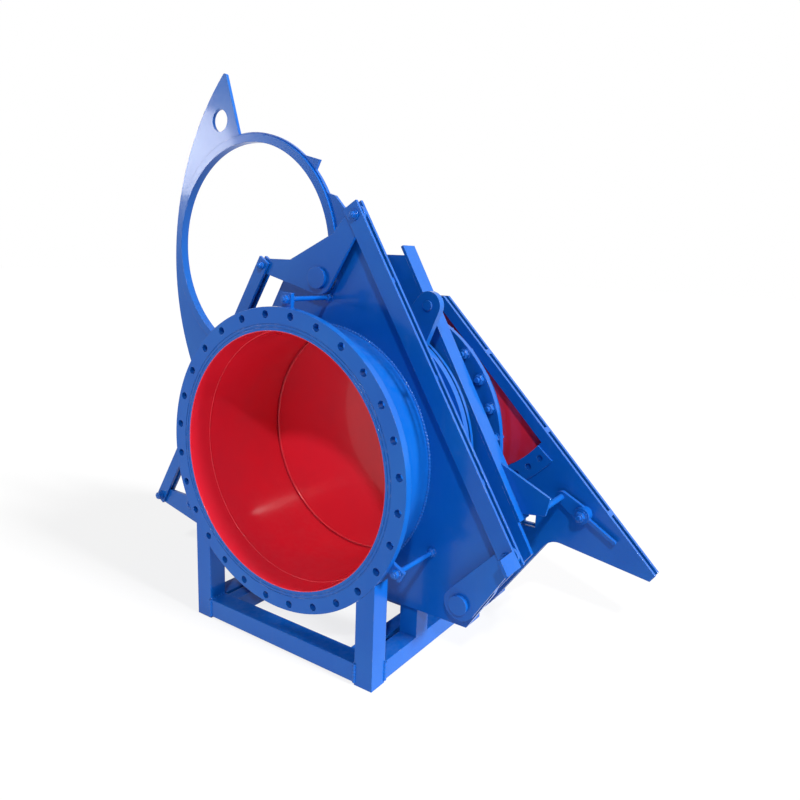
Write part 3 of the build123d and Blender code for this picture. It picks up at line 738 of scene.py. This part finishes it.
def fasteners(name, points, shank, stud, forward, body=BASE):
    """Painted nuts or bolt heads at several points, facing the front or the back."""
    piece = piece_from_mesh(name, points)
    grown(piece, fastener_tree(), {
        "Shank": shank,
        "Stud Length": stud,
        "Turn": math.pi / 2 if forward else -math.pi / 2,
        "Material": blue_enamel(),
    })
    return mounted(piece, body)


def bolt_ring(y):
    """Points of the bolt circle at a place along the pipe, half a step off the side."""
    sizes = settings().valve_fasteners
    radius = sizes.bolt_circle
    points = []
    for index in range(sizes.bolt_count):
        turn = math.tau * (index + 0.5) / sizes.bolt_count
        points.append(Vector((radius * math.cos(turn), y, radius * math.sin(turn))))
    return points


def islands(node):
    """Boxes of the separate solids of a CAD node, as pairs of corners."""
    digits = 5
    mesh = frame["nodes"][node].data
    keys = {}
    owner = []
    for vertex in mesh.vertices:
        key = tuple(round(part, digits) for part in vertex.co)
        owner.append(keys.setdefault(key, len(keys)))
    parent = list(range(len(keys)))

    def root(item):
        """Representative point of a solid."""
        while parent[item] != item:
            parent[item] = parent[parent[item]]
            item = parent[item]
        return item

    for polygon in mesh.polygons:
        first = root(owner[polygon.vertices[0]])
        for index in polygon.vertices[1:]:
            parent[root(owner[index])] = first
    boxes = {}
    for vertex, item in zip(mesh.vertices, owner):
        low, high = boxes.setdefault(root(item), (vertex.co.copy(), vertex.co.copy()))
        for axis in range(3):
            low[axis] = min(low[axis], vertex.co[axis])
            high[axis] = max(high[axis], vertex.co[axis])
    return sorted(boxes.values(), key=lambda pair: (pair[0].x, pair[0].z))


class VALVE_OT_paint(bpy.types.Operator):
    """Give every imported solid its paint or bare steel"""

    bl_idname = "valve.paint"
    bl_label = "Paint the solids"

    def execute(self, context):
        for name, node in frame["nodes"].items():
            if name == DISC_NODE:
                material = disc_enamel()
            elif name in RED_NODES:
                material = red_enamel()
            elif name in STEEL_NODES:
                material = plated_steel()
            else:
                material = blue_enamel()
            node.data.materials.clear()
            node.data.materials.append(material)
        return {"FINISHED"}


class VALVE_OT_bore_coats(bpy.types.Operator):
    """Coat the inside of the front and rear pipes with red enamel"""

    bl_idname = "valve.bore_coats"
    bl_label = "Coat the bore"

    def execute(self, context):
        self.coat("front_bore_coat", flange_low.y, pipe_high.y)
        self.coat("rear_bore_coat", clamp_low.y, rear_end)
        seam = settings().valve_seams
        rings = []
        for depth in (seam.lip_radius, seam.bore_weld_depth):
            rings.append(circle_path(Vector((0, flange_low.y + depth, 0)), bore_radius))
        bead("bore_beads", rings, seam.lip_radius, seam.ripple_depth,
             red_enamel(), BASE, RED_SLOT)
        return {"FINISHED"}

    def coat(self, name, front, back):
        """One thin tube of paint on the bore's wall."""
        count = 192
        sharp_edge = math.radians(40)
        inside = bore_radius - settings().valve_paint.coat_thickness
        rows = (
            (front, bore_radius),
            (back, bore_radius),
            (back, inside),
            (front, inside),
        )
        points = []
        for y, radius in rows:
            for index in range(count):
                turn = math.tau * index / count
                points.append((radius * math.cos(turn), y, radius * math.sin(turn)))
        faces = []
        for row in range(len(rows)):
            first = row * count
            second = (row + 1) % len(rows) * count
            for index in range(count):
                after = (index + 1) % count
                faces.append((first + index, second + index, second + after, first + after))
        piece = piece_from_mesh(name, points, faces=faces)
        piece.data.materials.append(red_enamel())
        piece.data.polygons.foreach_set("use_smooth", [True] * len(piece.data.polygons))
        piece.data.set_sharp_from_angle(angle=sharp_edge)
        mounted(piece, BASE)


class VALVE_OT_weld_seams(bpy.types.Operator):
    """Lay the weld seams of pipes, plates and frame"""

    bl_idname = "valve.weld_seams"
    bl_label = "Weld seams"

    def execute(self, context):
        rings = []
        for y in (
            flange_high.y,
            plate_low.y,
            plate_high.y,
            seat_front,
            clamp_high.y,
            middle_flange_low.y,
        ):
            rings.append(circle_path(Vector((0, y, 0)), pipe_radius))
        weld("pipe_welds", rings)
        rail_low, rail_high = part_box("front_rail")
        leg_low, leg_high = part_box("front_leg_right")
        seams = []
        for side in (1, -1):
            inner = side * leg_low.x
            outer = side * leg_high.x
            bottom = rail_low.z
            top = rail_high.z
            seams += [
                straight((inner, rail_low.y, bottom), (inner, rail_low.y, top)),
                straight((inner, rail_low.y, top), (inner, rail_high.y, top)),
                straight((outer, leg_high.y, bottom), (outer, leg_high.y, top)),
                straight((inner, leg_high.y, top), (outer, leg_high.y, top)),
            ]
        weld("frame_welds", seams)
        return {"FINISHED"}


class VALVE_OT_flange_bolts(bpy.types.Operator):
    """Bolt up the middle flange"""

    bl_idname = "valve.flange_bolts"
    bl_label = "Middle flange bolts"

    def execute(self, context):
        shank = settings().valve_fasteners.flange_bolt
        fasteners("middle_flange_nuts", bolt_ring(middle_flange_low.y), shank,
                  stud=shank * 0.5, forward=True)
        fasteners("middle_flange_heads", bolt_ring(middle_flange_high.y), shank,
                  stud=shank * 0.1, forward=False)
        return {"FINISHED"}


class VALVE_OT_stud_nuts(bpy.types.Operator):
    """Put nuts on the tie studs on both sides of the lugs and in front of the plate"""

    bl_idname = "valve.stud_nuts"
    bl_label = "Tie stud nuts"

    def execute(self, context):
        shank = settings().valve_fasteners.tie_stud
        studs = [(low + high) / 2 for low, high in islands("tie_studs")]
        for name, y, stud, forward in (
            ("stud_heads", lug_low.y, shank * 0.3, True),
            ("lug_nuts", lug_high.y, shank * 0.1, False),
            ("plate_nuts", plate_low.y, shank * 0.1, True),
        ):
            places = [Vector((centre.x, y, centre.z)) for centre in studs]
            fasteners(name, places, shank, stud, forward)
        return {"FINISHED"}


class VALVE_OT_yoke_fasteners(bpy.types.Operator):
    """Put a nut on the hub of each lever"""

    bl_idname = "valve.yoke_fasteners"
    bl_label = "Yoke fasteners"

    def execute(self, context):
        tolerance = 0.0005
        shank = settings().valve_fasteners.lever_bolt
        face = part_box("yoke_levers")[0].y
        mesh = frame["nodes"]["yoke_levers"].data
        front = [v.co for v in mesh.vertices if abs(v.co.y - face) < tolerance]
        hubs = []
        for side in (1, -1):
            own = [p for p in front if p.x * side > 0]
            low_x = min(p.x for p in own)
            high_x = max(p.x for p in own)
            low_z = min(p.z for p in own)
            high_z = max(p.z for p in own)
            hubs.append(Vector(((low_x + high_x) / 2, face, (low_z + high_z) / 2)))
        fasteners("lever_nuts", hubs, shank, stud=shank * 0.35, forward=True)
        return {"FINISHED"}


class VALVE_OT_pin_caps(bpy.types.Operator):
    """Put washers and nuts on the ends of the crank pins"""

    bl_idname = "valve.pin_caps"
    bl_label = "Pin caps"

    def execute(self, context):
        thread_share = 0.47
        for node, body in (
            ("top_pins", "top_crank"),
            ("right_crank_pin", "right_crank"),
            ("left_crank_pin", "left_crank"),
        ):
            pins = islands(node)
            pin = min(high.x - low.x for low, high in pins)
            ends = []
            for low, high in pins:
                ends.append(Vector(((low.x + high.x) / 2, low.y, (low.z + high.z) / 2)))
            fasteners(f"{body}_pin_nuts", ends, shank=pin * thread_share,
                      stud=0.003, forward=True, body=body)
        return {"FINISHED"}


class VALVE_OT_disc_seal(bpy.types.Operator):
    """Lay the seal bead on the blind disc, just inside the bore"""

    bl_idname = "valve.disc_seal"
    bl_label = "Disc seal"

    def execute(self, context):
        radius = settings().valve_seams.seal_radius
        centre = (disc_low + disc_high) / 2
        path = circle_path(Vector((centre.x, disc_low.y, centre.z)), bore_radius - 2 * radius)
        bead("blind_disc_seal", [path], radius, 0.0, red_enamel(), "sector", RED_SLOT)
        return {"FINISHED"}


class VALVE_OT_stage(bpy.types.Operator):
    """Set up the floor, the light and the camera"""

    bl_idname = "valve.stage"
    bl_label = "Stage"

    def execute(self, context):
        self.floor()
        self.sky()
        stage = settings().valve_stage
        self.lamp("key_light", stage.key_strength, spread=3.5, towards=(0.38, -0.632, 0.675))
        self.lamp("side_light", stage.side_strength, spread=12, towards=(0.85, 0.02, 0.53))
        self.lamp("low_light", stage.low_strength, spread=6.5, towards=(-0.770, -0.627, 0.125))
        self.camera()
        context.scene.view_settings.view_transform = "Standard"
        return {"FINISHED"}

    def floor(self):
        """Pale floor that keeps a faint shadow."""
        half = 40.0
        grey = (0.86, 0.86, 0.86)
        whiteness = 0.80
        corners = [(-half, -half), (half, -half), (half, half), (-half, half)]
        points = [(x, y, ground) for x, y in corners]
        piece = piece_from_mesh("floor", points, faces=[(0, 1, 2, 3)])
        material = blank_material("pale_floor", grey)
        tree = material.node_tree
        output = add_node(tree, "ShaderNodeOutputMaterial", (600, 0))
        matte = add_node(tree, "ShaderNodeBsdfDiffuse", (0, -150), {"Color": rgba(grey)})
        white = add_node(tree, "ShaderNodeEmission", (0, 150), {"Strength": 1.0})
        seen = add_node(tree, "ShaderNodeMath", (0, 350), operation="MULTIPLY")
        seen.inputs[1].default_value = whiteness
        join(tree, seen_rays(tree), seen.inputs[0])
        mix = add_node(tree, "ShaderNodeMixShader", (300, 0))
        join(tree, seen.outputs["Value"], mix.inputs["Fac"])
        join(tree, matte.outputs["BSDF"], mix.inputs[1])
        join(tree, white.outputs["Emission"], mix.inputs[2])
        join(tree, mix.outputs["Shader"], output.inputs["Surface"])
        piece.data.materials.append(material)

    def sky(self):
        """Soft light all round, brighter above, that the camera sees as white."""
        world = bpy.data.worlds.new("studio")
        bpy.context.scene.world = world
        world.use_nodes = True
        tree = world.node_tree
        tree.nodes.clear()
        output = add_node(tree, "ShaderNodeOutputWorld", (700, 0))
        place = add_node(tree, "ShaderNodeTexCoord", (-600, 0))
        parts = add_node(tree, "ShaderNodeSeparateXYZ", (-400, 0))
        join(tree, place.outputs["Generated"], parts.inputs["Vector"])
        ramp = add_node(tree, "ShaderNodeValToRGB", (-200, 0))
        ramp.color_ramp.elements[0].position = 0.0
        ramp.color_ramp.elements[0].color = (0.45, 0.47, 0.50, 1.0)
        ramp.color_ramp.elements[1].position = 0.75
        ramp.color_ramp.elements[1].color = (1.0, 1.0, 1.0, 1.0)
        join(tree, parts.outputs["Z"], ramp.inputs["Fac"])
        soft = add_node(tree, "ShaderNodeBackground", (100, -100),
                        {"Strength": settings().valve_stage.sky_strength})
        join(tree, ramp.outputs["Color"], soft.inputs["Color"])
        white = add_node(tree, "ShaderNodeBackground", (100, 100),
                         {"Color": (1.0, 1.0, 1.0, 1.0)})
        mix = add_node(tree, "ShaderNodeMixShader", (400, 0))
        join(tree, seen_rays(tree), mix.inputs["Fac"])
        join(tree, soft.outputs["Background"], mix.inputs[1])
        join(tree, white.outputs["Background"], mix.inputs[2])
        join(tree, mix.outputs["Shader"], output.inputs["Surface"])

    def lamp(self, name, strength, spread, towards):
        """Light from far away, from a direction and with a spread in degrees."""
        lamp = bpy.data.lights.new(name, "SUN")
        lamp.energy = strength
        lamp.angle = math.radians(spread)
        piece = bpy.data.objects.new(name, lamp)
        piece.rotation_mode = "QUATERNION"
        piece.rotation_quaternion = Vector(towards).to_track_quat("Z", "Y")
        bpy.context.scene.collection.objects.link(piece)

    def camera(self):
        """Camera at the photograph's place, angle and lens."""
        stage = settings().valve_stage
        lens = bpy.data.cameras.new("camera")
        lens.sensor_width = 36.0
        lens.lens = stage.camera_lens
        lens.clip_end = 200.0
        piece = bpy.data.objects.new("camera", lens)
        turn = (
            Matrix.Rotation(stage.camera_yaw, 3, "Z")
            @ Matrix.Rotation(stage.camera_pitch, 3, "X")
            @ Matrix.Rotation(stage.camera_roll, 3, "Y")
        )
        right = turn.col[0]
        ahead = turn.col[1]
        up = turn.col[2]
        looking = Matrix((right, up, -ahead)).transposed().to_4x4()
        piece.matrix_world = Matrix.Translation(stage.camera_place) @ looking
        bpy.context.scene.collection.objects.link(piece)
        bpy.context.scene.camera = piece


class VALVE_PT_looks(bpy.types.Panel):
    """Settings and steps that dress the valve"""

    bl_idname = "VALVE_PT_looks"
    bl_label = "Blind plate valve"
    bl_space_type = "VIEW_3D"
    bl_region_type = "UI"
    bl_category = "Valve"

    def draw(self, context):
        for name, group in SETTINGS:
            box = self.layout.box()
            for value in group.__annotations__:
                box.prop(getattr(context.scene, name), value)
        for operator in OPERATORS:
            self.layout.operator(operator.bl_idname)


SETTINGS = (
    ("valve_paint", ValvePaintSettings),
    ("valve_seams", ValveSeamSettings),
    ("valve_fasteners", ValveFastenerSettings),
    ("valve_stage", ValveStageSettings),
)
OPERATORS = (
    VALVE_OT_paint,
    VALVE_OT_bore_coats,
    VALVE_OT_weld_seams,
    VALVE_OT_flange_bolts,
    VALVE_OT_stud_nuts,
    VALVE_OT_yoke_fasteners,
    VALVE_OT_pin_caps,
    VALVE_OT_disc_seal,
    VALVE_OT_stage,
)


def register():
    """Register the settings, the steps and their panel."""
    for name, group in SETTINGS:
        bpy.utils.register_class(group)
        setattr(bpy.types.Scene, name, bpy.props.PointerProperty(type=group))
    for operator in OPERATORS:
        bpy.utils.register_class(operator)
    bpy.utils.register_class(VALVE_PT_looks)


def unregister():
    """Undo register, in reverse order."""
    bpy.utils.unregister_class(VALVE_PT_looks)
    for operator in reversed(OPERATORS):
        bpy.utils.unregister_class(operator)
    for name, group in reversed(SETTINGS):
        delattr(bpy.types.Scene, name)
        bpy.utils.unregister_class(group)


def main():
    """Dress the valve step by step."""
    register()
    bpy.ops.valve.paint()
    bpy.ops.valve.bore_coats()
    bpy.ops.valve.weld_seams()
    bpy.ops.valve.flange_bolts()
    bpy.ops.valve.stud_nuts()
    bpy.ops.valve.yoke_fasteners()
    bpy.ops.valve.pin_caps()
    bpy.ops.valve.disc_seal()
    bpy.ops.valve.stage()


if __name__ == "__main__":
    main()
